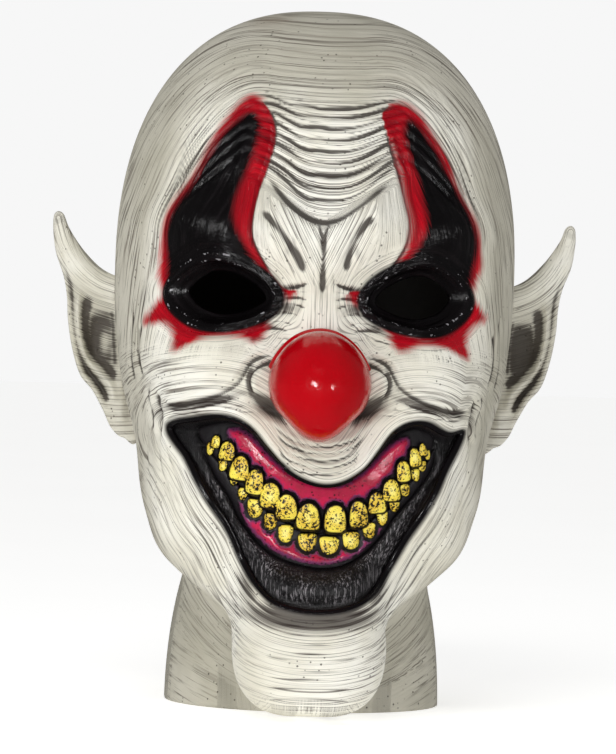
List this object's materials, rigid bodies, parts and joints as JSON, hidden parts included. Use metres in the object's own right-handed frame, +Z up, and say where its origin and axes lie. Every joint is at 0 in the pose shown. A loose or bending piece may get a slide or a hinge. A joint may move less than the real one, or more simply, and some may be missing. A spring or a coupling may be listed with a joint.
{
  "type": "full-head clown mask",
  "caption": "Full-head latex clown mask with pointed ears, a red bulb nose, carved folds, painted eyes, a toothy open mouth and a slit nape.",
  "frame": {"origin": "on the flat neck rim's plane, under the middle of the overall box", "axes": "+Z up to the crown, the face looks along -Y, +X on the viewer's right"},
  "size_m": [0.216, 0.251, 0.285],
  "materials": {
    "face_latex": "cream latex, brushed with brown wash, red and black paint round the eyes and mouth",
    "head_latex": "beige-grey latex with brushed streaks",
    "ear_latex": "cream latex with brown wash in the folds",
    "red_gloss": "high gloss red",
    "black_latex": "satin black",
    "gum_pink": "glossy pink",
    "tooth_yellow": "satin yellow with black specks",
    "foam": "open-cell foam",
    "patch_cloth": "latex-soaked cloth",
    "label_white": "woven, blank"
  },
  "bodies": {
    "mask": {"face_skin": "face_latex", "back_skin": "head_latex", "left_ear": "ear_latex", "right_ear": "ear_latex", "red_nose": "red_gloss", "mouth_lining": "black_latex", "upper_gum": "gum_pink", "lower_gum": "gum_pink", "upper_teeth": "tooth_yellow", "lower_teeth": "tooth_yellow", "forehead_pad": "foam", "left_temple_pad": "foam", "right_temple_pad": "foam", "slit_patch": "patch_cloth", "care_label": "label_white"},
    "left_flap": {"left_back_flap": "head_latex"},
    "right_flap": {"right_back_flap": "head_latex"}
  },
  "joints": [
    {"name": "left_flap_bend", "type": "hinge", "parent": "mask", "child": "left_flap", "pos_m": [0, 0.0901, 0.09], "axis": [0.3332, -0.1049, 0.937], "range_deg": [0, 24], "stiffness_Nm_per_rad": 0.3},
    {"name": "right_flap_bend", "type": "hinge", "parent": "mask", "child": "right_flap", "pos_m": [0, 0.0901, 0.09], "axis": [0.3332, 0.1049, -0.937], "range_deg": [0, 24], "stiffness_Nm_per_rad": 0.3}
  ]
}
